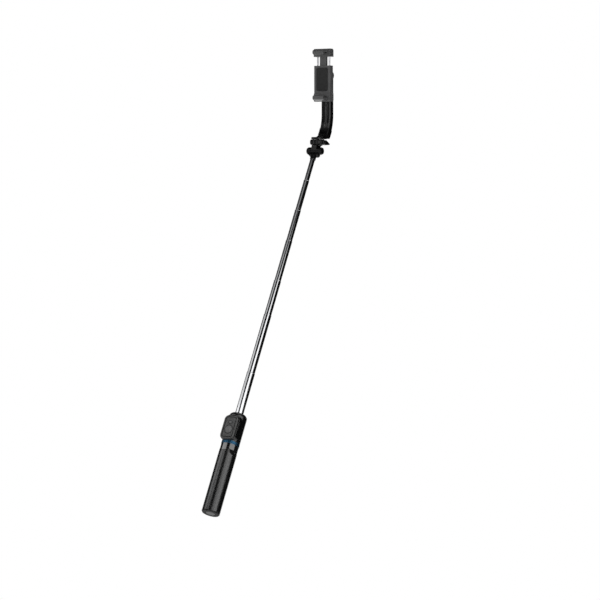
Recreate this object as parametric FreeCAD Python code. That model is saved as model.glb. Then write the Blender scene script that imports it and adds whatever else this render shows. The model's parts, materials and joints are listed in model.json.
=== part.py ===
import FreeCAD, Part
import math
import os

# Hand-held telescopic stick whose round handle folds out into three legs, with a
# removable remote, a seven-section pole, a tilting and panning head and a sprung phone clamp.
# Millimetres. +Z runs up the handle and the pole, -Y is the front, where the remote sits,
# and the origin is the centre of the handle's lower end.

# ---- driving dimensions: handle and legs ----
handle_radius = 14.35
leg_top = 101.4
leg_foot_height = 1.6
leg_inner_radius = 8.6
leg_wall = 2.0
leg_half_angle = 59.0
leg_bays = 3
leg_azimuths = {"left": -150.0, "right": -30.0, "rear": 90.0}
foot_radius = 13.4
foot_inner_radius = 8.1
crown_radius = 14.15
crown_low = 101.7
crown_high = 113.0
ring_high = 117.8
housing_high = 166.6
shoulder_low = 160.8
shoulder_radius = 8.6

# ---- driving dimensions: leg hinges ----
pin_depth = 10.8
pin_radius = 0.8
pin_half_length = 7.7
lug_radius = 5.0
lug_root_half_width = 4.6
lug_root_height = 2.0
lug_root_inner = 9.6
cheek_radius = 2.6
cheek_front_radius = 14.0
cheek_outer = 8.9
pocket_radius = 3.1
pocket_outer = 9.6

# ---- driving dimensions: core tube ----
core_low = 8.0
core_outer_radius = 8.0
core_inner_radius = 7.0
plug_radius = 7.6
plug_height = 14.0
plug_chamfer = 0.6

# ---- driving dimensions: pole ----
section_radii = [6.65, 6.225, 5.8, 5.375, 4.95, 4.525, 4.1]
section_tops = [238.0, 341.1, 402.5, 475.6, 531.9, 588.1, 637.0]
section_length = 150.0
section_wall = 0.25
lip_length = 3.0
bush_length = 8.0
bush_spacing = 29.0

# ---- driving dimensions: remote and its cradle ----
remote_half_width = 12.4
remote_low = 118.4
remote_high = 158.2
remote_corner = 7.2
remote_back = -9.5
remote_split = -14.6
remote_front = -17.8
panel_half_width = 8.5
panel_low = 121.9
panel_high = 154.2
panel_corner = 3.0
button_height = 134.0
button_radius = 6.3
key_height = 146.0
key_half_width = 2.9
key_half_height = 1.8
cell_radius = 8.0
cradle_front = -14.9
cradle_wall = 1.2

# ---- driving dimensions: head ----
pitch_height = 645.0
disc_height_on_axis = 662.0
clamp_centre = (0.0, -48.6, 761.5)
head_tilt = 30.85
ear_radius = 6.3
ear_inner = 5.0
ear_outer = 12.0
tongue_radius = 6.0
tongue_half_width = 4.7
pitch_pin_radius = 1.5
disc_radius = 12.5
disc_thickness = 9.6
disc_scallops = 14
disc_rounding = 3.2
pan_pin_radius = 2.0
lever_reach = 15.5
lever_pin_radius = 0.8

# ---- driving dimensions: arm ----
arm_depth_position = 24.5
arm_half_width = 8.6
arm_half_depth = 5.8
arm_wall = 1.7
arm_bend_radius = 60.0
arm_bend_start = -64.0
arm_high = -4.0
arm_bend_angle = 35.5
sleeve_start_angle = 25.0
sleeve_wall = 0.6
arm_groove_offset = 3.7
arm_groove_depth = 0.9
arm_groove_half_width = 1.0
turntable_radius = 10.5
turntable_thickness = 3.4
counterbore_rise = 1.8
pivot_radius = 9.5
shaft_head_radius = 5.0
shaft_head_front = 28.5

# ---- driving dimensions: clamp ----
body_half_width = 15.0
body_back = 18.0
body_front = 6.5
body_low = -30.0
body_high = 15.6
jaw_reach = 43.3
jaw_front_half_width = 10.0
pad_face = 35.6
pad_thickness = 1.5
rod_radius = 1.3
rod_offset = 10.9
spring_bore_radius = 2.9
spring_wire_radius = 0.5
spring_coil_radius = 2.1
spring_pitch = 2.2
rod_depth = 11.75
roll_shaft_radius = 3.0

# ---- clearances ----
running = 0.05
gap = 0.3

X = FreeCAD.Vector(1, 0, 0)
Y = FreeCAD.Vector(0, 1, 0)
Z = FreeCAD.Vector(0, 0, 1)
ORIGIN = FreeCAD.Vector(0, 0, 0)
TINY = 1e-6
parts = {}


def vector(x, y, z):
    return FreeCAD.Vector(x, y, z)


def box(x_low, x_high, y_low, y_high, z_low, z_high):
    """Block between two corners."""
    corner = vector(x_low, y_low, z_low)
    return Part.makeBox(x_high - x_low, y_high - y_low, z_high - z_low, corner)


def cylinder_x(radius, low, high, y, z):
    return Part.makeCylinder(radius, high - low, vector(low, y, z), X)


def cylinder_y(radius, low, high, x, z):
    return Part.makeCylinder(radius, high - low, vector(x, low, z), Y)


def cylinder_z(radius, low, high, x=0.0, y=0.0):
    return Part.makeCylinder(radius, high - low, vector(x, y, low), Z)


def tube(outer, inner, low, high):
    """Round tube about the stick's axis."""
    return cylinder_z(outer, low, high).cut(cylinder_z(inner, low, high))


def sector(outer, inner, half_angle, low, high):
    """Part of a round tube centred on the +X direction."""
    wedge = Part.makeCylinder(outer, high - low, vector(0, 0, low), Z, 2 * half_angle)
    wedge.rotate(ORIGIN, Z, -half_angle)
    return wedge.cut(cylinder_z(inner, low - 1, high + 1))


def prism_x(points, half_width):
    """Outline in the YZ plane, as thick as twice half_width and centred on x = 0."""
    corners = [vector(-half_width, y, z) for y, z in points]
    face = Part.Face(Part.makePolygon(corners + corners[:1]))
    return face.extrude(vector(2 * half_width, 0, 0))


def edges_parallel(shape, direction):
    """Straight edges of a shape that run along a direction."""
    found = []
    for edge in shape.Edges:
        if isinstance(edge.Curve, Part.Line):
            along = edge.Vertexes[-1].Point - edge.Vertexes[0].Point
            if along.cross(direction).Length < TINY * along.Length:
                found.append(edge)
    return found


def edges_at(shape, axis, level):
    """Edges that lie wholly in one plane across an axis (0 for x, 1 for y, 2 for z)."""
    found = []
    for edge in shape.Edges:
        bounds = edge.BoundBox
        low = (bounds.XMin, bounds.YMin, bounds.ZMin)[axis]
        high = (bounds.XMax, bounds.YMax, bounds.ZMax)[axis]
        if abs(low - level) < 1e-3 and abs(high - level) < 1e-3:
            found.append(edge)
    return found


def rounded_plate(half_width, low, high, corner, front, back):
    """Plate facing the front, a rounded rectangle from x = -half_width to half_width."""
    plate = box(-half_width, half_width, front, back, low, high)
    return plate.makeFillet(corner, edges_parallel(plate, Y))


def both_sides(shape):
    """A piece and its mirror image across x = 0, as two separate solids."""
    return [shape, shape.mirror(ORIGIN, X)]


# ---- core tube, crown and housing ----

def make_core():
    """Tube that the pole slides in, and the plug that closes its lower end."""
    lip = tube(core_outer_radius, section_radii[0] + running, housing_high - lip_length, housing_high)
    parts["core_tube"] = tube(core_outer_radius, core_inner_radius, core_low, housing_high).fuse(lip)
    stem = cylinder_z(plug_radius, 0, core_low)
    stem = stem.makeChamfer(plug_chamfer, edges_at(stem, 2, 0))
    parts["core_plug"] = stem.fuse(cylinder_z(core_inner_radius, core_low, plug_height)).removeSplitter()


def hinge_axis_piece(radius, low, high):
    """Round piece along one leg's hinge axis, for a leg centred on +X."""
    return cylinder_y(radius, low, high, pin_depth, crown_low)


def around_the_legs(shape):
    """One copy of a piece, made for a leg centred on +X, at each leg's azimuth."""
    copies = []
    for azimuth in leg_azimuths.values():
        turned = shape.copy()
        turned.rotate(ORIGIN, Z, azimuth)
        copies.append(turned)
    return copies


def make_crown():
    """Band that carries the legs, with an inset round lug, two cheek pockets and a pin at each leg."""
    band = tube(crown_radius, core_outer_radius, crown_low, crown_high)
    lug_low = crown_low - lug_radius
    lug = box(core_outer_radius + gap, handle_radius, -lug_radius, lug_radius, lug_low, crown_low)
    lug = lug.common(Part.makeSphere(lug_radius, vector(pin_depth, 0, crown_low)))
    root_top = crown_low + lug_root_height
    root = box(lug_root_inner, handle_radius, -lug_root_half_width, lug_root_half_width, crown_low, root_top)
    lug = lug.fuse(root).common(cylinder_z(crown_radius, lug_low, root_top))
    pocket = hinge_axis_piece(pocket_radius, lug_root_half_width, pocket_outer)
    pockets = pocket.fuse(pocket.mirror(ORIGIN, Y))
    pin = hinge_axis_piece(pin_radius, -pin_half_length, pin_half_length)
    lug = lug.cut(pin).removeSplitter()
    crown = band
    for opening in around_the_legs(root) + around_the_legs(pockets) + around_the_legs(pin):
        crown = crown.cut(opening)
    parts["crown"] = crown.removeSplitter()
    parts["hinge_lugs"] = Part.makeCompound(around_the_legs(lug))
    parts["leg_pins"] = Part.makeCompound(around_the_legs(pin))
    parts["trim_ring"] = tube(handle_radius, core_outer_radius, crown_high, ring_high)


def make_housing():
    """Shouldered housing above the trim ring, split into the remote's cradle and a rear cover."""
    half_way = math.radians(45)
    width = handle_radius - shoulder_radius
    height = housing_high - shoulder_low
    shoulder_middle = vector(
        shoulder_radius + width * math.cos(half_way), 0, shoulder_low + height * math.sin(half_way)
    )
    start = vector(handle_radius, 0, shoulder_low)
    end = vector(shoulder_radius, 0, housing_high)
    outline = Part.Wire([
        Part.makeLine(vector(0, 0, ring_high), vector(handle_radius, 0, ring_high)),
        Part.makeLine(vector(handle_radius, 0, ring_high), start),
        Part.Arc(start, shoulder_middle, end).toShape(),
        Part.makeLine(end, vector(0, 0, housing_high)),
        Part.makeLine(vector(0, 0, housing_high), vector(0, 0, ring_high)),
    ])
    body = Part.Face(outline).revolve(ORIGIN, Z, 360)
    bulge_half_width = remote_half_width + cradle_wall
    bulge_high = remote_high + 1.6
    bulge_corner = remote_corner + 1.0
    bulge_back = -4.0
    bulge_rounding = 0.8
    bulge = rounded_plate(bulge_half_width, ring_high, bulge_high, bulge_corner, cradle_front, bulge_back)
    bulge = bulge.makeFillet(bulge_rounding, edges_at(bulge, 1, cradle_front))
    pocket = rounded_plate(
        remote_half_width + gap, remote_low - gap, remote_high + gap,
        remote_corner + gap, cradle_front - 5, remote_back + gap,
    )
    beyond = 20.0
    notch_low = 134.5
    notch_high = 147.5
    notch_corner = 1.0
    notch_front = -13.6
    notch_back = -11.4
    finger_notch = rounded_plate(beyond, notch_low, notch_high, notch_corner, notch_front, notch_back)
    notch_floor = remote_half_width + cradle_wall / 2
    finger_notch = finger_notch.cut(box(-notch_floor, notch_floor, -beyond, 0, ring_high, housing_high))
    shell = body.fuse(bulge).cut(cylinder_z(core_outer_radius, ring_high - 1, housing_high + 1))
    shell = shell.cut(pocket).cut(finger_notch).removeSplitter()
    seam = 1.0
    front_half = box(-beyond, beyond, -beyond, seam, ring_high - 1, housing_high + 1)
    parts["cradle"] = shell.common(front_half)
    parts["rear_cover"] = shell.cut(front_half)


# ---- legs ----

def make_legs():
    """Three channel-shaped legs that close into a round grip, with rubber feet."""
    leg = sector(handle_radius, leg_inner_radius, leg_half_angle, leg_foot_height, leg_top)
    top_wall = 10.0
    cavity_top = leg_top - top_wall
    rib = 2.0
    side_wall_angle = 9.0
    cavity_radius = handle_radius - leg_wall
    cavity_half_angle = leg_half_angle - side_wall_angle
    bay = (cavity_top - leg_foot_height - (leg_bays - 1) * rib) / leg_bays
    for index in range(leg_bays):
        low = leg_foot_height + index * (bay + rib)
        start = low - 1 if index == 0 else low
        leg = leg.cut(sector(cavity_radius, leg_inner_radius - 2, cavity_half_angle, start, low + bay))
    notch_radius = lug_radius + gap
    notch = Part.makeCylinder(notch_radius, 2 * handle_radius, vector(0, 0, crown_low), X)
    leg = leg.cut(notch)
    cheek = hinge_axis_piece(cheek_radius, notch_radius, cheek_outer)
    cheek = cheek.common(cylinder_z(cheek_front_radius, crown_low - 5, crown_low + 5))
    leg = leg.multiFuse([cheek, cheek.mirror(ORIGIN, Y)])
    leg = leg.cut(hinge_axis_piece(pin_radius + running, -pin_half_length - 0.1, pin_half_length + 0.1))
    leg = leg.removeSplitter()

    foot = sector(foot_radius, foot_inner_radius, leg_half_angle - 0.5, 0, leg_foot_height)
    rim = [edge for edge in edges_at(foot, 2, 0) if edge.Length > foot_radius * 1.5]
    foot_rounding = 0.6
    foot = foot.makeFillet(foot_rounding, rim)
    spigot_low = leg_foot_height - 1
    spigot_high = leg_foot_height + 3
    spigot_radius = cavity_radius - 0.15
    spigot_inner_radius = leg_inner_radius + 0.3
    spigot = sector(spigot_radius, spigot_inner_radius, cavity_half_angle - 2, spigot_low, spigot_high)
    foot = foot.fuse(spigot).removeSplitter()
    for name, leg_copy, foot_copy in zip(leg_azimuths, around_the_legs(leg), around_the_legs(foot)):
        parts["leg_" + name] = leg_copy
        parts["foot_" + name] = foot_copy


# ---- remote ----

def make_remote():
    """Snap-out remote: two shells, a key panel, board, coin cell, lid, key domes and two keys."""
    wall = 1.1
    inside_width = remote_half_width - wall
    lid_radius = cell_radius + 0.8
    lid_thickness = 1.0
    cavity = rounded_plate(
        inside_width, remote_low + wall, remote_high - wall, remote_corner - 1,
        remote_split, remote_back - lid_thickness,
    )
    back = rounded_plate(remote_half_width, remote_low, remote_high, remote_corner, remote_split, remote_back)
    back = back.makeFillet(0.5, edges_at(back, 1, remote_back))
    back = back.cut(cavity).cut(cylinder_y(lid_radius, remote_split, remote_back + 1, 0, button_height))
    parts["remote_back"] = back

    lid = cylinder_y(lid_radius, remote_back - lid_thickness, remote_back, 0, button_height)
    coin_slot = box(-4.5, 4.5, remote_back - 0.5, remote_back + 1, button_height - 0.8, button_height + 0.8)
    parts["battery_lid"] = lid.cut(coin_slot)

    shell = rounded_plate(remote_half_width, remote_low, remote_high, remote_corner, remote_front, remote_split)
    rim_rounding = 1.6
    face = shell.makeFillet(rim_rounding, edges_at(shell, 1, remote_front))
    panel_opening = rounded_plate(
        panel_half_width, panel_low, panel_high, panel_corner, remote_front - 1, remote_split + 1
    )
    parts["remote_face"] = face.cut(panel_opening)

    panel_face = remote_front + 0.35
    panel_rear = -16.2
    panel = rounded_plate(panel_half_width, panel_low, panel_high, panel_corner, panel_face, panel_rear)
    panel = panel.makeFillet(0.25, edges_at(panel, 1, panel_face))
    button_hole = cylinder_y(button_radius + gap, panel_face - 1, panel_rear + 1, 0, button_height)
    key_hole = rounded_plate(
        key_half_width + gap, key_height - key_half_height - gap, key_height + key_half_height + gap,
        key_half_height, panel_face - 1, panel_rear + 1,
    )
    parts["key_panel"] = panel.cut(button_hole).cut(key_hole)

    key_front = remote_front - 0.15
    flange_front = panel_rear + gap
    flange_rear = flange_front + 0.6
    flange_margin = 0.8
    button = cylinder_y(button_radius, key_front, flange_rear, 0, button_height)
    button = button.makeFillet(0.5, edges_at(button, 1, key_front))
    dish_radius = 60.0
    dish_depth = 0.25
    dish = Part.makeSphere(dish_radius, vector(0, key_front + dish_depth - dish_radius, button_height))
    button = button.cut(dish)
    flange = cylinder_y(button_radius + flange_margin, flange_front, flange_rear, 0, button_height)
    parts["shutter_button"] = button.fuse(flange).removeSplitter()

    key_corner = 1.7
    key = rounded_plate(
        key_half_width, key_height - key_half_height, key_height + key_half_height,
        key_corner, key_front, flange_rear,
    )
    key = key.makeFillet(0.3, edges_at(key, 1, key_front))
    key_flange = rounded_plate(
        key_half_width + flange_margin, key_height - key_half_height - flange_margin,
        key_height + key_half_height + flange_margin,
        key_corner, flange_front, flange_rear,
    )
    parts["mode_key"] = key.fuse(key_flange).removeSplitter()

    board_front = -14.4
    board_rear = -13.7
    parts["remote_board"] = rounded_plate(
        inside_width - 0.3, remote_low + 1.5, remote_high - 1.5, remote_corner - 1.4, board_front, board_rear
    )
    cell_back = remote_back - lid_thickness
    parts["coin_cell"] = cylinder_y(cell_radius, board_rear, cell_back, 0, button_height)
    dome_radius = 2.5
    dome_thickness = 0.4
    domes = []
    for height in (button_height, key_height):
        domes.append(cylinder_y(dome_radius, board_front - dome_thickness, board_front, 0, height))
    parts["key_domes"] = Part.makeCompound(domes)


# ---- pole ----

def make_pole():
    """Seven thin tubes, each with an inward lip at its top and two guide bushes near its foot."""
    bores = [core_inner_radius] + [radius - section_wall for radius in section_radii]
    for index, (radius, top) in enumerate(zip(section_radii, section_tops)):
        low = top - section_length
        wall = tube(radius, radius - section_wall, low, top)
        if index + 1 < len(section_radii):
            lip = tube(radius, section_radii[index + 1] + running, top - lip_length, top)
            wall = wall.fuse(lip).removeSplitter()
        parts["pole_%d" % (index + 1)] = wall
        bush_radius = bores[index] - running
        bushes = []
        for start in (low, low + bush_spacing):
            bushes.append(tube(bush_radius, radius, start, start + bush_length))
        parts["bushes_%d" % (index + 1)] = Part.makeCompound(bushes)


def make_pole_head():
    """Socket and two ears on the last tube, with the pitch screw, its cap and its slotted nut."""
    socket_low = 629.0
    base_low = 635.0
    base_high = pitch_height - 6.8
    base_half_depth = 4.4
    base_half_width = 9.0
    base_rounding = 2.8
    socket_radius = 4.8
    head = cylinder_z(socket_radius, socket_low, base_high)
    base = box(-base_half_width, base_half_width, -base_half_depth, base_half_depth, base_low, base_high)
    lower_ends = [edge for edge in edges_parallel(base, Y) if edge.Vertexes[0].Z < base_high - 1]
    base = base.makeFillet(base_rounding, lower_ends)
    head = head.fuse(base)
    web = box(ear_inner, base_half_width, -base_half_depth, base_half_depth, base_high - 1, pitch_height)
    ear = cylinder_x(ear_radius, ear_inner, ear_outer, 0, pitch_height)
    ear_rounding = 0.8
    ear = ear.makeFillet(ear_rounding, edges_at(ear, 0, ear_outer))
    head = head.multiFuse(both_sides(web) + both_sides(ear))
    screw = cylinder_x(pitch_pin_radius, -ear_outer, ear_outer, 0, pitch_height)
    head = head.cut(screw).cut(cylinder_z(section_radii[-1], socket_low - 1, section_tops[-1]))
    parts["pole_head"] = head.removeSplitter()
    parts["pitch_screw"] = screw

    end_radius = 5.6
    end_face = ear_outer + 2.0
    recess_depth = 0.8
    recess_radius = 4.0
    cap_rounding = 0.6
    nut_rounding = 1.6
    cap = cylinder_x(end_radius, ear_outer, end_face, 0, pitch_height)
    cap = cap.makeFillet(cap_rounding, edges_at(cap, 0, end_face))
    recess = cylinder_x(recess_radius, end_face - recess_depth, end_face + 1, 0, pitch_height)
    parts["pitch_cap"] = cap.cut(recess)
    nut = cylinder_x(end_radius, -end_face, -ear_outer, 0, pitch_height)
    nut = nut.makeFillet(nut_rounding, edges_at(nut, 0, -end_face))
    slot_floor = -end_face + recess_depth
    slot_half = 0.7
    reach = end_radius + 1
    slot = box(-end_face - 1, slot_floor, -slot_half, slot_half, pitch_height - reach, pitch_height + reach)
    parts["pitch_nut"] = nut.cut(slot)


# ---- head, made upright about the middle of the phone space and then tilted into place ----

head_frame = FreeCAD.Placement(vector(*clamp_centre), FreeCAD.Rotation(X, head_tilt))
pitch_point = head_frame.inverse().multVec(vector(0, 0, pitch_height))
disc_centre = head_frame.inverse().multVec(vector(0, 0, disc_height_on_axis))
disc_low = disc_centre.z - disc_thickness / 2
disc_high = disc_centre.z + disc_thickness / 2
lever_point = vector(0, disc_centre.y + lever_reach, disc_centre.z - 0.2)


def place_head_part(name, shape):
    """Tilt a piece of the head into the row frame and keep it."""
    placed = shape.copy()
    placed.Placement = head_frame.multiply(placed.Placement)
    parts[name] = placed


def offset_points(centre, offsets):
    return [(centre.y + y, centre.z + z) for y, z in offsets]


def make_swivel():
    """Tongue between the ears, the ribbed pan disc on it, and the pan pin."""
    rise = disc_low - pitch_point.z
    tongue = cylinder_x(tongue_radius, -tongue_half_width, tongue_half_width, pitch_point.y, pitch_point.z)
    stem_outline = [(-5.4, 2.4), (-3.0, rise), (14.0, rise), (5.2, 2.9)]
    stem = prism_x(offset_points(pitch_point, stem_outline), tongue_half_width)
    flange_radius = 8.0
    flange = cylinder_z(flange_radius, disc_low - 1.2, disc_low, 0, disc_centre.y)
    pin_low = disc_low - 4.5
    head_low = disc_high + gap + counterbore_rise + gap
    pin_head_radius = 3.7
    pin = cylinder_z(pan_pin_radius, pin_low, head_low, 0, disc_centre.y)
    tongue = tongue.multiFuse([stem, flange]).cut(pin)
    tongue = tongue.cut(cylinder_x(pitch_pin_radius + running, -6, 6, pitch_point.y, pitch_point.z))
    place_head_part("tongue", tongue.removeSplitter())
    pin_head = cylinder_z(pin_head_radius, head_low, head_low + 1.1, 0, disc_centre.y)
    place_head_part("pan_pin", pin.fuse(pin_head).removeSplitter())

    disc = cylinder_z(disc_radius, disc_low, disc_high, 0, disc_centre.y)
    disc = disc.makeFillet(disc_rounding, edges_at(disc, 2, disc_low) + edges_at(disc, 2, disc_high))
    scallop_radius = 1.5
    scallop_centre_radius = disc_radius + 0.6
    for index in range(disc_scallops):
        angle = math.radians(-90 + 360.0 * index / disc_scallops)
        x = scallop_centre_radius * math.cos(angle)
        y = disc_centre.y + scallop_centre_radius * math.sin(angle)
        disc = disc.cut(cylinder_z(scallop_radius, disc_low - 1, disc_high + 1, x, y))
    fork_half = 2.0
    fork_inner = 2.6
    fork_outer = 4.4
    fork = cylinder_x(fork_half, fork_inner, fork_outer, lever_point.y, lever_point.z)
    fork_low = lever_point.z - fork_half
    fork_high = lever_point.z + fork_half
    fork_root = box(fork_inner, fork_outer, disc_centre.y + 9, lever_point.y, fork_low, fork_high)
    fork = fork.fuse(fork_root)
    slot_start = lever_point.y - 2.4
    clearance_slot = box(-fork_inner, fork_inner, slot_start, lever_point.y + 5, disc_low - 1, disc_high + 1)
    lever_pin = cylinder_x(lever_pin_radius, 0.2 - fork_outer, fork_outer - 0.2, lever_point.y, lever_point.z)
    disc = disc.multiFuse(both_sides(fork)).cut(clearance_slot).cut(lever_pin)
    disc = disc.cut(cylinder_z(pan_pin_radius, disc_low - 1, disc_high + 1, 0, disc_centre.y))
    place_head_part("pan_disc", disc.removeSplitter())
    place_head_part("lever_pin", lever_pin)


def make_lever():
    """Wedge-shaped lock lever that hinges down behind the disc."""
    root_radius = 2.0
    root_half_width = 2.3
    root = cylinder_x(root_radius, -root_half_width, root_half_width, lever_point.y, lever_point.z)
    neck_outline = [(0, root_radius), (2.8, 2.4), (2.8, -2.4), (0, -root_radius)]
    neck = prism_x(offset_points(lever_point, neck_outline), root_half_width)
    wedge_outline = [(2.4, 3.6), (5.0, 3.8), (16.6, -2.2), (16.4, -3.4), (14.8, -4.0), (2.4, -4.4)]
    wedge_half_width = 5.2
    wedge_rounding = 0.8
    wedge = prism_x(offset_points(lever_point, wedge_outline), wedge_half_width)
    wedge = wedge.makeFillet(wedge_rounding, edges_parallel(wedge, X)[1:2])
    lever = root.multiFuse([neck, wedge])
    lever = lever.cut(cylinder_x(lever_pin_radius + running, -5, 5, lever_point.y, lever_point.z))
    place_head_part("lock_lever", lever.removeSplitter())


def arm_face(outline):
    """Closed outline across the arm at the start of its bend: x, then distance behind its middle."""
    corners = [vector(x, arm_depth_position + offset, arm_bend_start) for x, offset in outline]
    return Part.Face(Part.makePolygon(corners + corners[:1]))


def bend(face, start_angle, end_angle):
    """Carry an outline round the arm's bend."""
    centre = vector(0, arm_depth_position - arm_bend_radius, arm_bend_start)
    turned = face.copy()
    turned.rotate(centre, X, -start_angle)
    return turned.revolve(centre, -X, end_angle - start_angle)


def box_outline(half_width, half_depth, corner):
    """Rectangle with cut corners, for an outline across the arm."""
    w = half_width
    d = half_depth
    return [
        (-w, -d + corner), (-w + corner, -d), (w - corner, -d), (w, -d + corner),
        (w, d - corner), (w - corner, d), (-w + corner, d), (-w, d - corner),
    ]


def shell_outline(side):
    """Half of the arm's hollow section, with two lengthwise grooves. Side is -1 in front, 1 behind."""
    w = arm_half_width
    d = arm_half_depth
    groove = arm_groove_depth
    inner_w = w - arm_wall
    inner_d = d - arm_wall - groove / 2
    corner = 1.3
    outer = [(-w, 0), (-w, d - corner), (-w + corner, d)]
    for middle in (-arm_groove_offset, arm_groove_offset):
        left = middle - arm_groove_half_width
        right = middle + arm_groove_half_width
        outer += [(left, d), (left, d - groove), (right, d - groove), (right, d)]
    outer += [(w - corner, d), (w, d - corner), (w, 0)]
    inner = [(inner_w, 0), (inner_w, inner_d), (-inner_w, inner_d), (-inner_w, 0)]
    return [(x, side * offset) for x, offset in outer + inner]


def make_arm():
    """Curved hollow arm: a foot on the disc, two half shells, a pivot block and its screws."""
    turntable_low = disc_high + gap
    turntable_high = turntable_low + turntable_thickness
    counterbore_floor = turntable_low + counterbore_rise
    counterbore_radius = 4.0
    plate = cylinder_z(turntable_radius, turntable_low, turntable_high, 0, disc_centre.y)
    plate = plate.makeFillet(1.0, edges_at(plate, 2, turntable_high))
    outer = arm_face(box_outline(arm_half_width + sleeve_wall, arm_half_depth + sleeve_wall, 1.6))
    inner = arm_face(box_outline(arm_half_width, arm_half_depth, 1.2))
    sleeve = bend(outer, sleeve_start_angle, arm_bend_angle)
    sleeve = sleeve.cut(bend(inner, sleeve_start_angle, arm_bend_angle))
    end_wall_angle = 2.2
    end_wall = bend(outer, arm_bend_angle, arm_bend_angle + end_wall_angle)
    web_outline = [
        (-5.0, turntable_low), (-5.0, turntable_high), (3.0, -99.0),
        (7.2, -96.2), (14.4, -101.9), (11.0, turntable_low),
    ]
    web_half_width = 5.8
    web = prism_x(web_outline, web_half_width)
    foot = plate.multiFuse([web, end_wall, sleeve])
    pin_bore_radius = pan_pin_radius + running
    foot = foot.cut(cylinder_z(pin_bore_radius, turntable_low - 1, turntable_high + 1, 0, disc_centre.y))
    foot = foot.cut(cylinder_z(counterbore_radius, counterbore_floor, turntable_high + 4, 0, disc_centre.y))
    place_head_part("arm_foot", foot.removeSplitter())

    pivot_front = arm_depth_position - arm_half_depth
    pivot_back = arm_depth_position + arm_half_depth
    pivot = cylinder_y(pivot_radius, pivot_front, pivot_back, 0, 0)
    screw_radius = 1.8
    shank_radius = 0.9
    seat = pivot_back - 1.5
    slot_half = 0.25
    screws = []
    recesses = []
    for height in (-13.0, -19.0):
        head = cylinder_y(screw_radius, seat, pivot_back - 0.3, 0, height)
        shank = cylinder_y(shank_radius, arm_depth_position - 2, seat, 0, height)
        slot_floor = pivot_back - 0.8
        slot = box(-screw_radius, screw_radius, slot_floor, pivot_back, height - slot_half, height + slot_half)
        screws.append(head.fuse(shank).cut(slot).removeSplitter())
        recesses.append(cylinder_y(screw_radius, seat, pivot_back + 1, 0, height))
    shells = {}
    for name, side in (("arm_front", -1), ("arm_rear", 1)):
        face = arm_face(shell_outline(side))
        straight = face.extrude(vector(0, 0, arm_high - arm_bend_start))
        shell = straight.fuse(bend(face, 0, arm_bend_angle))
        shells[name] = shell.cut(pivot).removeSplitter()
    for cutter in screws + recesses:
        shells["arm_rear"] = shells["arm_rear"].cut(cutter)
    place_head_part("arm_front", shells["arm_front"])
    place_head_part("arm_rear", shells["arm_rear"])

    tenon_half_width = arm_half_width - arm_wall
    tenon_half_depth = arm_half_depth - arm_wall - arm_groove_depth / 2
    tenon = box(
        -tenon_half_width, tenon_half_width, arm_depth_position - tenon_half_depth,
        arm_depth_position + tenon_half_depth, -23, -6,
    )
    pivot_rounding = 0.8
    pivot = pivot.makeFillet(pivot_rounding, edges_at(pivot, 1, pivot_back))
    pivot = pivot.fuse(tenon).cut(cylinder_y(roll_shaft_radius + running, pivot_front - 1, pivot_back + 1, 0, 0))
    pivot = pivot.cut(cylinder_y(shaft_head_radius + 0.4, shaft_head_front - gap, pivot_back + 1, 0, 0))
    for screw in screws:
        pivot = pivot.cut(screw)
    place_head_part("arm_pivot", pivot.removeSplitter())
    place_head_part("arm_screws", Part.makeCompound(screws))


# ---- clamp ----

def jaw_outline_solid(half_width, points, side):
    """Outline in the YZ plane drawn for the upper jaw, flipped for the lower one with side -1."""
    return prism_x([(y, side * z) for y, z in points], half_width)


def jaw_solid(side, body_start):
    """Jaw with a wide body behind the phone and a narrower hooked lip in front of it."""
    reach = jaw_reach
    wall_inner = pad_face + pad_thickness
    body_outline = [
        (5.0, body_start), (body_back, body_start), (body_back, reach - 2.2), (body_back - 2.2, reach),
        (6.6, reach), (5.0, reach - 1.6),
    ]
    body = jaw_outline_solid(body_half_width, body_outline, side)
    lip_end = 33.0
    hook_outline = [
        (8.0, reach - 0.6), (-3.5, reach - 2.0), (-7.3, reach - 3.1), (-8.5, reach - 4.6),
        (-8.5, lip_end + 1.4), (-7.4, lip_end), (-4.6, lip_end), (-4.6, wall_inner), (8.0, wall_inner),
    ]
    hook = jaw_outline_solid(jaw_front_half_width, hook_outline, side)
    corner = 2.4
    for x_side in (-1, 1):
        edge = x_side * jaw_front_half_width
        lip_corner = [
            vector(edge, -20, side * (lip_end - 1)), vector(edge - x_side * corner, -20, side * (lip_end - 1)),
            vector(edge, -20, side * (lip_end + corner)),
        ]
        hook = hook.cut(Part.Face(Part.makePolygon(lip_corner + lip_corner[:1])).extrude(vector(0, 16, 0)))
    return body.fuse(hook).removeSplitter()


def jaw_pad(side):
    """Ribbed rubber pad on the face that presses the phone's edge."""
    low, high = sorted((side * pad_face, side * (pad_face + pad_thickness)))
    pad_half_width = 9.4
    pad_front = -4.6
    pad_back = 5.0
    pad = box(-pad_half_width, pad_half_width, pad_front, pad_back, low, high)
    groove_depth = 0.5
    groove_half_width = 0.5
    groove_spacing = 3.6
    face = side * pad_face
    low, high = sorted((face - side, face + side * groove_depth))
    for index in (-2, -1, 0, 1, 2):
        x = groove_spacing * index
        pad = pad.cut(box(x - groove_half_width, x + groove_half_width, pad_front - 1, pad_back + 1, low, high))
    return pad


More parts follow.
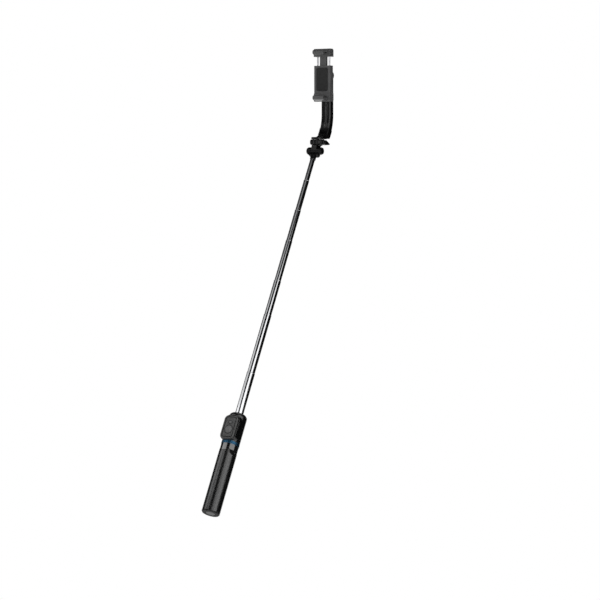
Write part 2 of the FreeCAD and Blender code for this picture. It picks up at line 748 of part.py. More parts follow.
def make_clamp():
    """Phone clamp: housing, roll shaft, back pad, fixed lower jaw and sprung upper jaw on two rods."""
    housing = box(-body_half_width, body_half_width, body_front, body_back, body_low, body_high)
    back_edges = [edge for edge in edges_parallel(housing, Z) if edge.Vertexes[0].Y > body_back - 1]
    back_rounding = 3.0
    housing = housing.makeFillet(back_rounding, back_edges)
    slot_half_width = 6.3
    slot_front = 9.2
    slot_back = 14.3
    slot = box(-slot_half_width, slot_half_width, slot_front, slot_back, body_low + 1, body_high + 1)
    housing = housing.cut(slot)
    guide_low = 9.0
    for x in (-rod_offset, rod_offset):
        housing = housing.cut(cylinder_z(rod_radius + running, guide_low - 1, body_high + 1, x, rod_depth))
        housing = housing.cut(cylinder_z(spring_bore_radius, body_low + 1, guide_low, x, rod_depth))
    shaft_front = 15.4
    shaft_bore = cylinder_y(roll_shaft_radius, shaft_front, body_back + 1, 0, 0)
    place_head_part("clamp_housing", housing.cut(shaft_bore))

    shaft = cylinder_y(roll_shaft_radius, shaft_front, shaft_head_front, 0, 0)
    shaft_head_back = shaft_head_front + 1.4
    shaft_head = cylinder_y(shaft_head_radius, shaft_head_front, shaft_head_back, 0, 0)
    shaft_head = shaft_head.makeChamfer(0.5, edges_at(shaft_head, 1, shaft_head_back))
    cross = box(-2.6, 2.6, shaft_head_back - 0.8, shaft_head_back + 1, -0.5, 0.5)
    shaft = shaft.fuse(shaft_head).cut(cross)
    cross.rotate(ORIGIN, Y, 90)
    place_head_part("roll_shaft", shaft.cut(cross).removeSplitter())
    back_pad_half_width = 10.0
    back_pad_corner = 2.5
    back_pad_face = 4.6
    back_pad_low = -26.0
    back_pad_high = 12.0
    place_head_part("back_pad", rounded_plate(
        back_pad_half_width, back_pad_low, back_pad_high, back_pad_corner, back_pad_face, body_front
    ))

    place_head_part("lower_jaw", jaw_solid(-1, -body_low))
    place_head_part("lower_pad", jaw_pad(-1))

    upper_start = 30.2
    tail_low = -12.0
    tail_half_width = slot_half_width - gap
    tail = box(-tail_half_width, tail_half_width, slot_front + gap, slot_back - gap, tail_low, upper_start + 2)
    upper = jaw_solid(1, upper_start).fuse(tail)
    rods = []
    springs = []
    rod_top = 37.0
    collar_low = -13.0
    collar_high = -12.0
    spring_low = collar_high + spring_wire_radius + 0.1
    spring_high = guide_low - spring_wire_radius - 0.1
    for x in (-rod_offset, rod_offset):
        rod = cylinder_z(rod_radius, collar_low, rod_top, x, rod_depth)
        upper = upper.cut(rod)
        collar = cylinder_z(spring_bore_radius - gap, collar_low, collar_high, x, rod_depth)
        rods.append(rod.fuse(collar).removeSplitter())
        helix = Part.makeHelix(spring_pitch, spring_high - spring_low, spring_coil_radius)
        ring = Part.Wire(Part.makeCircle(spring_wire_radius, vector(spring_coil_radius, 0, 0), Y))
        spring = Part.Wire(helix).makePipeShell([ring], True, True)
        spring.translate(vector(x, rod_depth, spring_low))
        springs.append(spring)
    place_head_part("upper_jaw", upper.removeSplitter())
    place_head_part("upper_pad", jaw_pad(1))
    place_head_part("jaw_rods", Part.makeCompound(rods))
    place_head_part("jaw_springs", Part.makeCompound(springs))


make_core()
make_crown()
make_housing()
make_legs()
make_remote()
make_pole()
make_pole_head()
make_swivel()
make_lever()
make_arm()
make_clamp()

os.makedirs("parts", exist_ok=True)
for name, shape in parts.items():
    shape.exportStep("parts/%s.step" % name)
    print("%-16s solids %d valid %s volume %.1f" % (name, len(shape.Solids), shape.isValid(), shape.Volume))
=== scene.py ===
import bpy
import bmesh
import json
import math
from mathutils import Matrix, Vector

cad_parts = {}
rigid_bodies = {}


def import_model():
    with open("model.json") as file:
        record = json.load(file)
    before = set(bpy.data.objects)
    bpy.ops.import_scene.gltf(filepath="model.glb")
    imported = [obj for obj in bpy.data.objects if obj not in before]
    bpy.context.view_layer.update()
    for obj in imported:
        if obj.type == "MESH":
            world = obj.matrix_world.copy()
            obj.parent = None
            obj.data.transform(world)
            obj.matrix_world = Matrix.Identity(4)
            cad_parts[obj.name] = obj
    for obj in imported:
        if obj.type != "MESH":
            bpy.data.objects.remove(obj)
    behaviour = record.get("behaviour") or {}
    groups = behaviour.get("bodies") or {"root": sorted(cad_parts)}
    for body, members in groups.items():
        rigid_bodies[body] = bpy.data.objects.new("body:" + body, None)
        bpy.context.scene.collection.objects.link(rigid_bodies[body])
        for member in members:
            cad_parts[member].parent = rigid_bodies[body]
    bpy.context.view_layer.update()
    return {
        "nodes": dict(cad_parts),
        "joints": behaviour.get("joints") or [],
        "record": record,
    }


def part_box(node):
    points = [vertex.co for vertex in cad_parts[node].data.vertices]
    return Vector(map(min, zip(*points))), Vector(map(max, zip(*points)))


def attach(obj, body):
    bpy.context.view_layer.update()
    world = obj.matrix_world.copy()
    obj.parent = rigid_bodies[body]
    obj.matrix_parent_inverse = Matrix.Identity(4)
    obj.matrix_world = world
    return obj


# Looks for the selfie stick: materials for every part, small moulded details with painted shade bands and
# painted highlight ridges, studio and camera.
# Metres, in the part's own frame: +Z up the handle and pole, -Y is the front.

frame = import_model()
joints = {joint["name"]: joint for joint in frame["joints"]}

MM = 0.001
clamp_centre = Vector(joints["clamp_roll"]["pos_m"])
front_axis = Vector(joints["clamp_roll"]["axis"]).normalized()
phone_up = Vector(joints["jaw_slide"]["axis"]).normalized()
side_axis = Vector((1, 0, 0))
head_axes = Matrix((side_axis, -front_axis, phone_up)).transposed()
head_matrix = Matrix.Translation(clamp_centre) @ head_axes.to_4x4()
pitch_centre = Vector(joints["head_pitch"]["pos_m"])
disc_centre = head_matrix.inverted() @ Vector(joints["head_pan"]["pos_m"])
lever_centre = head_matrix.inverted() @ Vector(joints["lock_lever_swing"]["pos_m"])
arm_body = joints["clamp_roll"]["parent"]

# Camera: its place, and its turns in degrees from the square view of the phone side.
camera_place = Vector((1.7494, -2.6961, -1.0103))
camera_azimuth = math.degrees(math.atan2(camera_place.x, -camera_place.y))
view_yaw = 29.34
view_pitch = 3.26
view_roll = 0.09
lens_mm = 132.0
sensor_mm = 36.0

# Studio: the part is held up above the floor, with softboxes standing round it.
floor_height = -1.40
floor_radius = 16.0
floor_glow = 0.6
card_distance = 2.6


# ---------------------------------------------------------------- materials

class Nodes:
    """Small helper for building one material's node tree."""

    def __init__(self, name):
        self.material = bpy.data.materials.new(name)
        self.material.use_nodes = True
        self.tree = self.material.node_tree
        self.shader = self.tree.nodes["Principled BSDF"]
        self.place = self.add("ShaderNodeTexCoord").outputs["Object"]

    def add(self, kind, **settings):
        node = self.tree.nodes.new(kind)
        for key, value in settings.items():
            setattr(node, key, value)
        return node

    def link(self, source, target):
        self.tree.links.new(source, target)

    def scaled_place(self, scale):
        """Object coordinates stretched by a vector, for streaks along one axis."""
        mapping = self.add("ShaderNodeMapping")
        mapping.inputs["Scale"].default_value = scale
        self.link(self.place, mapping.inputs["Vector"])
        return mapping.outputs["Vector"]

    def noise(self, scale, detail=4.0, roughness=0.55, place=None):
        node = self.add("ShaderNodeTexNoise")
        node.inputs["Scale"].default_value = scale
        node.inputs["Detail"].default_value = detail
        node.inputs["Roughness"].default_value = roughness
        self.link(place or self.place, node.inputs["Vector"])
        return node.outputs["Fac"]

    def spread(self, value, low, high):
        """Map a 0-to-1 pattern onto a range of numbers."""
        node = self.add("ShaderNodeMapRange")
        node.inputs["From Min"].default_value = 0.3
        node.inputs["From Max"].default_value = 0.7
        node.inputs["To Min"].default_value = low
        node.inputs["To Max"].default_value = high
        self.link(value, node.inputs["Value"])
        return node.outputs["Result"]

    def colours(self, value, dark, light):
        node = self.add("ShaderNodeValToRGB")
        node.color_ramp.elements[0].position = 0.3
        node.color_ramp.elements[1].position = 0.7
        node.color_ramp.elements[0].color = (*dark, 1)
        node.color_ramp.elements[1].color = (*light, 1)
        self.link(value, node.inputs["Fac"])
        return node.outputs["Color"]

    def mix(self, first, second, amount):
        """Blend two patterns."""
        node = self.add("ShaderNodeMix", data_type="FLOAT")
        node.inputs["Factor"].default_value = amount
        self.link(first, node.inputs["A"])
        self.link(second, node.inputs["B"])
        return node.outputs["Result"]

    def soft_edges(self, radius):
        """Normal that rounds sharp moulded edges by a small radius."""
        node = self.add("ShaderNodeBevel", samples=6)
        node.inputs["Radius"].default_value = radius
        return node.outputs["Normal"]

    def bump(self, height, strength, distance, normal=None):
        node = self.add("ShaderNodeBump")
        node.inputs["Strength"].default_value = strength
        node.inputs["Distance"].default_value = distance
        self.link(height, node.inputs["Height"])
        if normal is not None:
            self.link(normal, node.inputs["Normal"])
        self.link(node.outputs["Normal"], self.shader.inputs["Normal"])


def tint(colour, factor):
    return tuple(min(1.0, channel * factor) for channel in colour)


def moulded_plastic(
    name, colour, rough, grain=2600.0, grain_strength=0.25, edge=0.25 * MM, coat=0.0, shine=0.9
):
    """Injection-moulded plastic: fine spark-eroded grain, slight sheen changes and handling marks."""
    n = Nodes(name)
    fine = n.noise(grain, 3.0)
    broad = n.noise(70.0, 5.0)
    wear = n.noise(420.0, 6.0, 0.7)
    shade = n.colours(n.mix(broad, fine, 0.35), tint(colour, 0.8), tint(colour, 1.25))
    n.link(shade, n.shader.inputs["Base Color"])
    n.link(n.spread(n.mix(broad, wear, 0.5), rough - 0.05, rough + 0.07), n.shader.inputs["Roughness"])
    n.shader.inputs["Specular IOR Level"].default_value = shine
    n.shader.inputs["Coat Weight"].default_value = coat
    n.shader.inputs["Coat Roughness"].default_value = 0.08
    n.bump(fine, grain_strength, 0.012 * MM, n.soft_edges(edge))
    return n.material


def grip_finish(name, colour, rough):
    """Satin lacquer on the legs: very fine grain with faint lengthwise polishing."""
    n = Nodes(name)
    fine = n.noise(3200.0, 3.0)
    lengthwise = n.noise(900.0, 4.0, 0.6, n.scaled_place((1.0, 1.0, 0.02)))
    broad = n.noise(45.0, 4.0)
    shade = n.colours(n.mix(broad, lengthwise, 0.4), tint(colour, 0.85), tint(colour, 1.2))
    n.link(shade, n.shader.inputs["Base Color"])
    n.link(n.spread(n.mix(lengthwise, broad, 0.5), rough - 0.035, rough + 0.05), n.shader.inputs["Roughness"])
    n.shader.inputs["Specular IOR Level"].default_value = 0.9
    n.bump(n.mix(fine, lengthwise, 0.3), 0.2, 0.01 * MM, n.soft_edges(0.3 * MM))
    return n.material


def chrome_plate(name):
    """Drawn and chromed tube: bright metal, faint lengthwise draw lines, fine scratches and smears."""
    n = Nodes(name)
    draw_lines = n.noise(1500.0, 3.0, 0.6, n.scaled_place((1.0, 1.0, 0.01)))
    scratches = n.noise(900.0, 5.0, 0.75, n.scaled_place((0.6, 0.6, 3.0)))
    smears = n.noise(60.0, 4.0, 0.6)
    n.shader.inputs["Metallic"].default_value = 1.0
    n.link(n.colours(smears, (0.43, 0.435, 0.445), (0.48, 0.485, 0.495)), n.shader.inputs["Base Color"])
    n.link(n.spread(n.mix(smears, scratches, 0.35), 0.04, 0.10), n.shader.inputs["Roughness"])
    n.bump(n.mix(draw_lines, scratches, 0.3), 0.08, 0.004 * MM)
    return n.material


def turned_metal(name, colour, rough, lines=(1.0, 1.0, 30.0)):
    """Machined or anodised metal with fine turning lines."""
    n = Nodes(name)
    turning = n.noise(700.0, 4.0, 0.6, n.scaled_place(lines))
    broad = n.noise(120.0, 4.0)
    n.shader.inputs["Metallic"].default_value = 1.0
    n.link(n.colours(broad, tint(colour, 0.85), tint(colour, 1.12)), n.shader.inputs["Base Color"])
    n.link(n.spread(n.mix(turning, broad, 0.4), rough - 0.06, rough + 0.08), n.shader.inputs["Roughness"])
    n.bump(turning, 0.25, 0.01 * MM, n.soft_edges(0.12 * MM))
    return n.material


def rubber_finish(name, colour):
    """Matte rubber with a pebbled surface and dusty high spots."""
    n = Nodes(name)
    pebble = n.add("ShaderNodeTexVoronoi")
    pebble.inputs["Scale"].default_value = 1700.0
    n.link(n.place, pebble.inputs["Vector"])
    dust = n.noise(260.0, 6.0, 0.7)
    n.link(n.colours(dust, tint(colour, 0.8), tint(colour, 1.5)), n.shader.inputs["Base Color"])
    n.link(n.spread(dust, 0.62, 0.8), n.shader.inputs["Roughness"])
    n.bump(pebble.outputs["Distance"], 0.35, 0.03 * MM, n.soft_edges(0.3 * MM))
    return n.material


def circuit_board(name):
    """Lacquered board with a faint track pattern."""
    n = Nodes(name)
    tracks = n.add("ShaderNodeTexBrick")
    tracks.inputs["Scale"].default_value = 260.0
    tracks.inputs["Color1"].default_value = (0.02, 0.11, 0.05, 1)
    tracks.inputs["Color2"].default_value = (0.03, 0.15, 0.07, 1)
    tracks.inputs["Mortar"].default_value = (0.09, 0.2, 0.08, 1)
    n.link(n.place, tracks.inputs["Vector"])
    n.link(tracks.outputs["Color"], n.shader.inputs["Base Color"])
    n.link(n.spread(n.noise(500.0), 0.25, 0.4), n.shader.inputs["Roughness"])
    n.bump(tracks.outputs["Fac"], 0.2, 0.02 * MM)
    return n.material


finishes = {
    "tube_black": moulded_plastic("satin black tube", (0.004, 0.004, 0.0045), 0.36),
    "crown_gloss": moulded_plastic(
        "polished black crown", (0.006, 0.006, 0.007), 0.11,
        grain=1800.0, grain_strength=0.06, edge=0.2 * MM, coat=0.35,
    ),
    "hinge_black": moulded_plastic(
        "matte black hinge", (0.003, 0.003, 0.003), 0.85,
        grain=2400.0, grain_strength=0.3, edge=0.3 * MM, shine=0.15,
    ),
    "trim_blue": turned_metal("blue anodised ring", (0.030, 0.095, 0.170), 0.38),
    "housing_black": moulded_plastic(
        "semi-gloss housing", (0.0025, 0.0025, 0.0028), 0.22,
        grain=2200.0, grain_strength=0.10, coat=0.1, shine=0.6,
    ),
    "grip_black": grip_finish("satin black grip", (0.0025, 0.0025, 0.0028), 0.25),
    "rubber": rubber_finish("black rubber", (0.007, 0.007, 0.007)),
    "remote_grey": moulded_plastic(
        "graphite remote", (0.013, 0.0125, 0.0125), 0.28, grain=2400.0, grain_strength=0.15, edge=0.5 * MM
    ),
    "panel_grey": moulded_plastic(
        "graphite key panel", (0.016, 0.016, 0.0165), 0.36, grain=2800.0, grain_strength=0.2
    ),
    "button_grey": moulded_plastic(
        "graphite keys", (0.085, 0.085, 0.087), 0.36, grain=2800.0, grain_strength=0.2
    ),
    "board_green": circuit_board("circuit board"),
    "chrome": chrome_plate("chromed tube"),
    "steel": turned_metal("bright steel", (0.56, 0.56, 0.58), 0.28, (1.0, 1.0, 1.0)),
    "bush_brass": turned_metal("brass bush", (0.70, 0.52, 0.26), 0.35),
    "head_black": moulded_plastic(
        "satin black head", (0.0015, 0.0015, 0.0017), 0.24,
        grain=2400.0, grain_strength=0.12, edge=0.5 * MM, shine=0.22,
    ),
    "arm_black": moulded_plastic(
        "satin black arm", (0.0015, 0.0015, 0.0017), 0.22,
        grain=2400.0, grain_strength=0.10, edge=0.5 * MM, shine=0.22,
    ),
    "clamp_black": moulded_plastic(
        "satin black clamp", (0.070, 0.070, 0.071), 0.38,
        grain=2400.0, grain_strength=0.15, edge=0.35 * MM, shine=0.6,
    ),
}

for entry in frame["record"]["subparts"]:
    node = frame["nodes"][entry["node"]]
    for place in node.material_slots:
        place.material = finishes[entry["material_slot"]]


# ---------------------------------------------------------------- small moulded details, painted shade bands and painted highlight ridges

sharp_angle = math.radians(35.0)


def piece(name, mesh_builder, body, slot, matrix=None):
    """Make a mesh from bmesh code, give it a slot's finish and hang it on a body."""
    bm = bmesh.new()
    mesh_builder(bm)
    if matrix is not None:
        bmesh.ops.transform(bm, matrix=matrix, verts=bm.verts)
    bmesh.ops.recalc_face_normals(bm, faces=bm.faces)
    mesh = bpy.data.meshes.new(name)
    bm.to_mesh(mesh)
    bm.free()
    mesh.shade_smooth()
    mesh.set_sharp_from_angle(angle=sharp_angle)
    made = bpy.data.objects.new(name, mesh)
    bpy.context.scene.collection.objects.link(made)
    made.data.materials.append(finishes[slot])
    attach(made, body)
    return made


def lathe(bm, outline, centre=(0, 0, 0), axis="Z", steps=64):
    """Turn an outline of (radius, height) pairs about the Z or Y axis into a closed ring or knob."""
    rings = []
    for step in range(steps):
        angle = 2 * math.pi * step / steps
        ring = []
        for radius, height in outline:
            flat = (radius * math.cos(angle), radius * math.sin(angle))
            if axis == "Z":
                point = (flat[0], flat[1], height)
            else:
                point = (flat[0], height, flat[1])
            ring.append(bm.verts.new(Vector(point) + Vector(centre)))
        rings.append(ring)
    count = len(outline)
    for step in range(steps):
        ring = rings[step]
        following = rings[(step + 1) % steps]
        for index in range(count):
            after = (index + 1) % count
            bm.faces.new((ring[index], ring[after], following[after], following[index]))
    bmesh.ops.remove_doubles(bm, verts=bm.verts, dist=1e-7)


def ring_outline(radius, height, half_width, rise):
    """Closed oval section of a bead, as (radius, height) pairs."""
    steps = 10
    points = []
    for step in range(steps):
        angle = 2 * math.pi * step / steps
        points.append((radius + rise * math.cos(angle), height + half_width * math.sin(angle)))
    return points


def rounded_block(bm, size, centre, bevel):
    """Block with rounded edges."""
    made = bmesh.ops.create_cube(bm, size=1.0)["verts"]
    for vert in made:
        vert.co = Vector((vert.co.x * size[0], vert.co.y * size[1], vert.co.z * size[2])) + Vector(centre)
    edges = list({edge for vert in made for edge in vert.link_edges})
    bmesh.ops.bevel(bm, geom=edges, offset=bevel, segments=3, affect="EDGES", profile=0.5)


def box_radius(node):
    low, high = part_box(node)
    return (high[0] - low[0]) / 2


def pole_beads():
    """Rolled bead at the top of each pole section, and a fine ring where the pole leaves the handle."""
    beaded_sections = 6
    bead_sink = 0.02 * MM
    bead_drop = 0.45 * MM
    bead_half_width = 0.42 * MM
    bead_rise = 0.13 * MM
    collar_sink = 0.7 * MM
    collar_drop = 0.05 * MM
    collar_half_width = 0.5 * MM
    collar_rise = 0.35 * MM
    for number in range(1, beaded_sections + 1):
        node = "pole_%d" % number
        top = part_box(node)[1][2]
        outline = ring_outline(box_radius(node) - bead_sink, top - bead_drop, bead_half_width, bead_rise)
        piece("pole_bead_%d" % number, lambda bm: lathe(bm, outline), "stage_%d" % number, "chrome")
    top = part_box("core_tube")[1][2]
    collar_radius = box_radius("core_tube") - collar_sink
    outline = ring_outline(collar_radius, top - collar_drop, collar_half_width, collar_rise)
    piece("exit_collar", lambda bm: lathe(bm, outline), "core", "steel")


def screw_head(bm, centre, radius, height):
    """Pan head with a sunken middle, standing out along +Y."""
    inner = radius * 0.42
    outline = [
        (0.0, 0.0), (radius * 0.96, 0.0), (radius, height * 0.25), (radius * 0.86, height * 0.8),
        (radius * 0.62, height), (inner, height), (inner * 0.82, height * 0.45), (0.0, height * 0.4),
    ]
    lathe(bm, outline, centre, "Y", 32)


def rounded_frame(bm, half_width, low, high, corner, band, front, rise):
    """Rounded rectangular frame lying on a front-facing surface, band wide, proud by rise."""
    least_corner = 0.2 * MM
    corner_steps = 8
    loops = []
    for inset, depth in ((0.0, 0.0), (0.15 * band, -rise), (0.85 * band, -rise), (band, 0.0)):
        radius = max(corner - inset, least_corner)
        reach = half_width - inset
        loop = []
        for turn, (x_sign, z_sign) in enumerate(((1, 1), (-1, 1), (-1, -1), (1, -1))):
            for step in range(corner_steps + 1):
                angle = math.radians(90 * turn + 90 * step / corner_steps)
                x = x_sign * (reach - radius) + radius * math.cos(angle)
                z_edge = high - inset - radius if z_sign > 0 else low + inset + radius
                loop.append(bm.verts.new((x, front + depth, z_edge + radius * math.sin(angle))))
        loops.append(loop)
    count = len(loops[0])
    for outer, inner in zip(loops, loops[1:]):
        for index in range(count):
            after = (index + 1) % count
            bm.faces.new((outer[index], outer[after], inner[after], inner[index]))


def remote_details():
    """Painted shade: dark bands round the key panel, the shutter button and the mode key, standing in for the
    shade in their gaps; also a mark and a lens.
    """
    face_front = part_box("remote_face")[0][1]
    panel_low, panel_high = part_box("key_panel")
    panel_front = panel_low[1]
    panel_corner = 3.0 * MM
    panel_half_width = (panel_high[0] - panel_low[0]) / 2
    shade_band_width = 1.3 * MM
    frame_sink = 0.01 * MM
    frame_rise = 0.04 * MM
    button_flange = 0.9 * MM
    key_flange = 0.8 * MM
    key_reach = 0.75 * MM
    key_band = 0.6 * MM
    key_corner = 2.4 * MM

    # Painted shade: a black band, proud of the face, where the gap round the key panel falls in shade.
    def panel_shade_band(bm):
        rounded_frame(
            bm, panel_half_width + shade_band_width, panel_low[2] - shade_band_width, panel_high[2] + shade_band_width,
            panel_corner + shade_band_width, shade_band_width, face_front + frame_sink, frame_rise,
        )

    piece("panel_shade_band", panel_shade_band, "remote", "hinge_black")
    low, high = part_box("shutter_button")
    button_centre = ((low[0] + high[0]) / 2, 0, (low[2] + high[2]) / 2)
    button_radius = (high[0] - low[0]) / 2 - button_flange
    # Painted shade: a black ring round the shutter button, where its gap falls in shade.
    outline = ring_outline(button_radius + 0.6 * MM, panel_front, 0.08 * MM, 0.5 * MM)
    piece("button_shade_band", lambda bm: lathe(bm, outline, button_centre, "Y"), "remote", "hinge_black")
    key_low, key_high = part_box("mode_key")
    key_middle = (key_low[2] + key_high[2]) / 2
    key_half_width = (key_high[0] - key_low[0]) / 2 - key_flange
    key_half_height = (key_high[2] - key_low[2]) / 2 - key_flange

    # Painted shade: a black band round the mode key, where its gap falls in shade.
    def key_shade_band(bm):
        rounded_frame(
            bm, key_half_width + key_reach, key_middle - key_half_height - key_reach,
            key_middle + key_half_height + key_reach, key_corner, key_band,
            panel_front + frame_sink, frame_rise,
        )

    piece("key_shade_band", key_shade_band, "remote", "hinge_black")

    def key_mark(bm):
        for x in (-0.9 * MM, 0.9 * MM):
            rounded_block(bm, (0.35 * MM, 0.16 * MM, 1.5 * MM), (x, key_low[1], key_middle), 0.07 * MM)

    piece("mode_key_mark", key_mark, "mode", "panel_grey")
    lens = [
        (0.0, 0.1 * MM), (0.6 * MM, 0.1 * MM), (0.58 * MM, -0.06 * MM), (0.4 * MM, -0.14 * MM),
        (0.0, -0.18 * MM),
    ]
    lens_centre = (0, panel_front, panel_high[2] - 3.0 * MM)
    piece("status_lens", lambda bm: lathe(bm, lens, lens_centre, "Y", 24), "remote", "button_grey")


def cover_screws():
    """Two small screws on the back of the rear cover, one low and one high."""
    low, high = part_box("rear_cover")
    low_inset = 6 * MM
    high_inset = 12 * MM
    screw_sink = 0.12 * MM
    screw_radius = 1.3 * MM
    screw_rise = 0.35 * MM

    def build(bm):
        for height in (low[2] + low_inset, high[2] - high_inset):
            screw_head(bm, (0, high[1] - screw_sink, height), screw_radius, screw_rise)

    piece("cover_screws", build, "core", "steel")


def head_details():
    """Hexagon in the pitch cap, ridges on the lever, and the screws behind the clamp."""
    cap_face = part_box("pitch_cap")[1][0]
    hexagon_sink = 0.5 * MM
    ridge_size = (8.4 * MM, 0.8 * MM, 0.5 * MM)
    ridge_pitch = 2.6 * MM
    ridge_count = 3
    first_ridge = Vector((0, 6.6 * MM, 3.05 * MM))
    lever_slope = math.radians(-27.3)
    clamp_screw_side = 8.6 * MM
    clamp_screw_back = 17.95 * MM
    clamp_screw_heights = (-24 * MM, 11 * MM)

    def hexagon(bm):
        made = bmesh.ops.create_cone(
            bm, cap_ends=True, segments=6, radius1=2.9 * MM, radius2=2.7 * MM, depth=0.7 * MM
        )["verts"]
        turn = Matrix.Rotation(math.radians(90), 4, "Y")
        place = Matrix.Translation((cap_face - hexagon_sink, 0, pitch_centre.z))
        bmesh.ops.transform(bm, matrix=place @ turn, verts=made)
        bmesh.ops.bevel(bm, geom=list(bm.edges), offset=0.12 * MM, segments=2, affect="EDGES")

    piece("pitch_cap_hexagon", hexagon, "stage_7", "head_black")

    def lever_ridges(bm):
        slope = Matrix.Rotation(lever_slope, 4, "X")
        for step in range(ridge_count):
            along = Vector((0, step * ridge_pitch, 0))
            middle = lever_centre + first_ridge + slope.to_3x3() @ along
            before = len(bm.verts)
            rounded_block(bm, ridge_size, (0, 0, 0), 0.18 * MM)
            bm.verts.ensure_lookup_table()
            fresh = bm.verts[before:]
            bmesh.ops.transform(bm, matrix=Matrix.Translation(middle) @ slope, verts=fresh)

    piece("lever_ridges", lever_ridges, "lever", "head_black", head_matrix)

    def clamp_screws(bm):
        for x in (-clamp_screw_side, clamp_screw_side):
            for height in clamp_screw_heights:
                screw_head(bm, (x, clamp_screw_back, height), 1.6 * MM, 0.45 * MM)

    piece("clamp_screws", clamp_screws, "clamp", "steel", head_matrix)


def arm_highlight_ridges():
    """Three fine lengthwise ridges on the front of the arm, following its bend; the ridges are real, and
    their lighter finish is a painted highlight.
    """
    top = -12.0 * MM
    bend_start = -64.0 * MM
    bend_radius = 60.0 * MM
    bend_angle = math.radians(24.0)
    arm_middle = 24.5 * MM
    front = 18.7 * MM
    half_width = 0.42 * MM
    rise = 0.16 * MM
    bend_steps = 14
    foot_sink = -0.1 * MM
    crest = 0.55
    ridge_places = (-0.5 * MM, 2.2 * MM, 7.0 * MM)
    path = [(front, top, 0.0), (front, bend_start, 0.0)]
    bend_centre = arm_middle - bend_radius
    for step in range(1, bend_steps + 1):
        angle = bend_angle * step / bend_steps
        reach = front - bend_centre
        path.append((bend_centre + reach * math.cos(angle), bend_start - reach * math.sin(angle), angle))

    def build(bm):
        for x in ridge_places:
            sections = []
            for y, z, angle in path:
                section = []
                for side, out in ((-1, foot_sink), (-crest, rise), (crest, rise), (1, foot_sink)):
                    along = Vector((0, -math.cos(angle) * out, math.sin(angle) * out))
                    section.append(bm.verts.new(Vector((x + side * half_width, y, z)) + along))
                sections.append(section)
            for before, after in zip(sections, sections[1:]):
                for index in range(4):
                    following = (index + 1) % 4
                    bm.faces.new((before[index], before[following], after[following], after[index]))
            bm.faces.new(sections[0])
            bm.faces.new(sections[-1])

    # Painted highlight: the ridges take the much lighter clamp finish, standing in for light caught on the
    # arm's ridge edges.
    piece("arm_highlight_ridges", build, arm_body, "clamp_black", head_matrix)


pole_beads()
arm_highlight_ridges()
remote_details()
cover_screws()
head_details()


# ---------------------------------------------------------------- floor, light and camera

def direction(azimuth, elevation):
    """Unit vector towards a compass direction: 0 is the front, 90 the object's right."""
    a = math.radians(azimuth)
    e = math.radians(elevation)
    return Vector((math.sin(a) * math.cos(e), -math.cos(a) * math.cos(e), math.sin(e)))


def plain_floor():
    """Wide pale floor, well below the part, which is shown held up."""
    bm = bmesh.new()
    bmesh.ops.create_circle(bm, cap_ends=True, segments=96, radius=floor_radius)
    mesh = bpy.data.meshes.new("floor")
    bm.to_mesh(mesh)
    bm.free()
    floor = bpy.data.objects.new("floor", mesh)
    floor.location.z = floor_height
    bpy.context.scene.collection.objects.link(floor)
    n = Nodes("pale floor")
    n.link(n.colours(n.noise(3.0), (0.80, 0.80, 0.80), (0.84, 0.84, 0.84)), n.shader.inputs["Base Color"])
    n.link(n.spread(n.noise(9.0), 0.7, 0.8), n.shader.inputs["Roughness"])
    n.shader.inputs["Emission Color"].default_value = (1, 1, 1, 1)
    n.shader.inputs["Emission Strength"].default_value = floor_glow
    floor.data.materials.append(n.material)


def glow_nodes(name):
    """White glow on a surface that is black to other light."""
    n = Nodes(name)
    n.shader.inputs["Base Color"].default_value = (0, 0, 0, 1)
    n.shader.inputs["Emission Color"].default_value = (1, 1, 1, 1)
    return n


def glow_sheet(name, rows):
    """Curved glowing softbox round the part, unseen by the camera.

    Each row is a height, the two azimuths it spans in degrees from the camera's side, and how
    brightly it glows there. The sheet blends smoothly from one row to the next.
    """
    steps = 12
    corners = []
    glow = []
    for height, start, end, strength in rows:
        for step in range(steps + 1):
            azimuth = camera_azimuth + start + (end - start) * step / steps
            corners.append(direction(azimuth, 0) * card_distance + Vector((0, 0, height)))
            glow.append(strength)
    faces = []
    for row in range(len(rows) - 1):
        for step in range(steps):
            low = row * (steps + 1) + step
            high = low + steps + 1
            faces.append((low, low + 1, high + 1, high))
    mesh = bpy.data.meshes.new(name)
    mesh.from_pydata(corners, [], faces)
    mesh.attributes.new("glow", "FLOAT", "POINT").data.foreach_set("value", glow)
    made = bpy.data.objects.new(name, mesh)
    made.visible_camera = False
    bpy.context.scene.collection.objects.link(made)
    n = glow_nodes(name)
    strength = n.add("ShaderNodeAttribute", attribute_name="glow")
    n.link(strength.outputs["Fac"], n.shader.inputs["Emission Strength"])
    made.data.materials.append(n.material)


def overhead_card(size, height, strength):
    """Level glowing card above the part."""
    mesh = bpy.data.meshes.new("overhead_card")
    half = size / 2
    corners = [(-half, -half, 0), (-half, half, 0), (half, half, 0), (half, -half, 0)]
    mesh.from_pydata(corners, [], [(0, 1, 2, 3)])
    made = bpy.data.objects.new("overhead_card", mesh)
    made.location.z = height
    made.visible_camera = False
    bpy.context.scene.collection.objects.link(made)
    n = glow_nodes("overhead card")
    n.shader.inputs["Emission Strength"].default_value = strength
    made.data.materials.append(n.material)


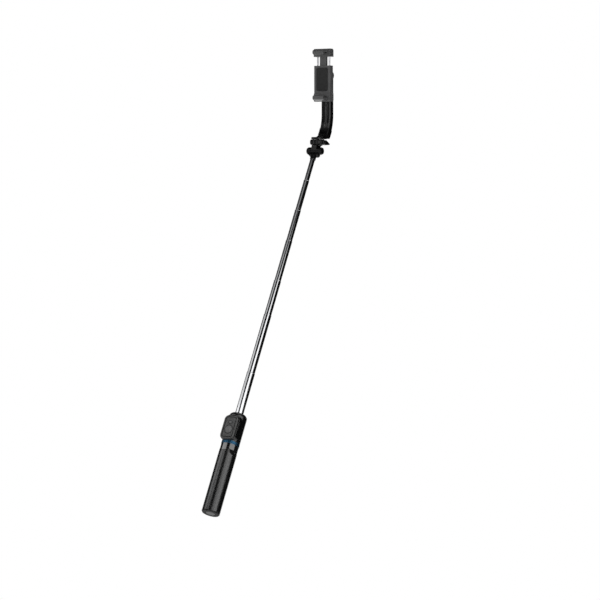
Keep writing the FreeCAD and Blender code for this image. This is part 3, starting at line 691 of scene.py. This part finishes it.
def studio_world(seen, unseen):
    """White to the camera, and dim to everything else, so the softboxes shape the reflections."""
    world = bpy.data.worlds.new("studio")
    world.use_nodes = True
    tree = world.node_tree
    background = tree.nodes["Background"]
    background.inputs["Color"].default_value = (1, 1, 1, 1)
    path = tree.nodes.new("ShaderNodeLightPath")
    level = tree.nodes.new("ShaderNodeMapRange")
    level.inputs["To Min"].default_value = unseen
    level.inputs["To Max"].default_value = seen
    tree.links.new(path.outputs["Is Camera Ray"], level.inputs["Value"])
    tree.links.new(level.outputs["Result"], background.inputs["Strength"])
    bpy.context.scene.world = world


def place_camera():
    """Long-lens camera that looks at the phone side of the head, a little down along the phone."""
    yaw = math.radians(view_yaw)
    pitch = math.radians(view_pitch)
    back = (side_axis * math.sin(yaw) + front_axis * math.cos(yaw)) * math.cos(pitch)
    back += phone_up * math.sin(pitch)
    right = side_axis * math.cos(yaw) - front_axis * math.sin(yaw)
    up = back.cross(right)
    roll = math.radians(view_roll)
    right, up = right * math.cos(roll) - up * math.sin(roll), up * math.cos(roll) + right * math.sin(roll)
    camera = bpy.data.objects.new("camera", bpy.data.cameras.new("camera"))
    camera.data.lens = lens_mm
    camera.data.sensor_width = sensor_mm
    camera.data.clip_end = 60.0
    camera.matrix_world = Matrix.Translation(camera_place) @ Matrix((right, up, back)).transposed().to_4x4()
    bpy.context.scene.collection.objects.link(camera)
    bpy.context.scene.camera = camera


plain_floor()
studio_world(1.0, 0.01)
glow_sheet("left_sheet", [
    (0.80, -99, -41, 2.4), (1.10, -99, -41, 2.4), (1.17, -118, -50, 1.1), (1.34, -104, -58, 1.2),
    (1.50, -80, -44, 0.8), (1.65, -62, -28, 0.6), (1.80, -48, -10, 0.5), (1.95, -38, 2, 0.45),
])
glow_sheet("left_haze", [(1.45, -140, -80, 0.10), (2.00, -140, -50, 0.10)])
glow_sheet("right_sheet", [
    (0.80, -3, 62, 2.4), (1.10, -3, 62, 2.4), (1.17, -16, 40, 2.2), (1.34, -5, 34, 2.2),
    (1.50, 2, 36, 1.8), (1.65, 9, 30, 0.7), (1.78, 15, 26, 0.0),
])
glow_sheet("low_right_sheet", [(-0.60, -5, 20, 3.0), (0.00, 10, 50, 3.0), (0.70, 30, 62, 3.0)])
glow_sheet("head_sheet", [(2.10, -30, 30, 1.0), (2.60, -30, 30, 1.0)])
glow_sheet("back_sheet", [(0.00, 150, 210, 1.4), (2.20, 150, 210, 1.4)])
overhead_card(2.2, 3.2, 1.2)
place_camera()
bpy.context.scene.view_settings.view_transform = "Standard"
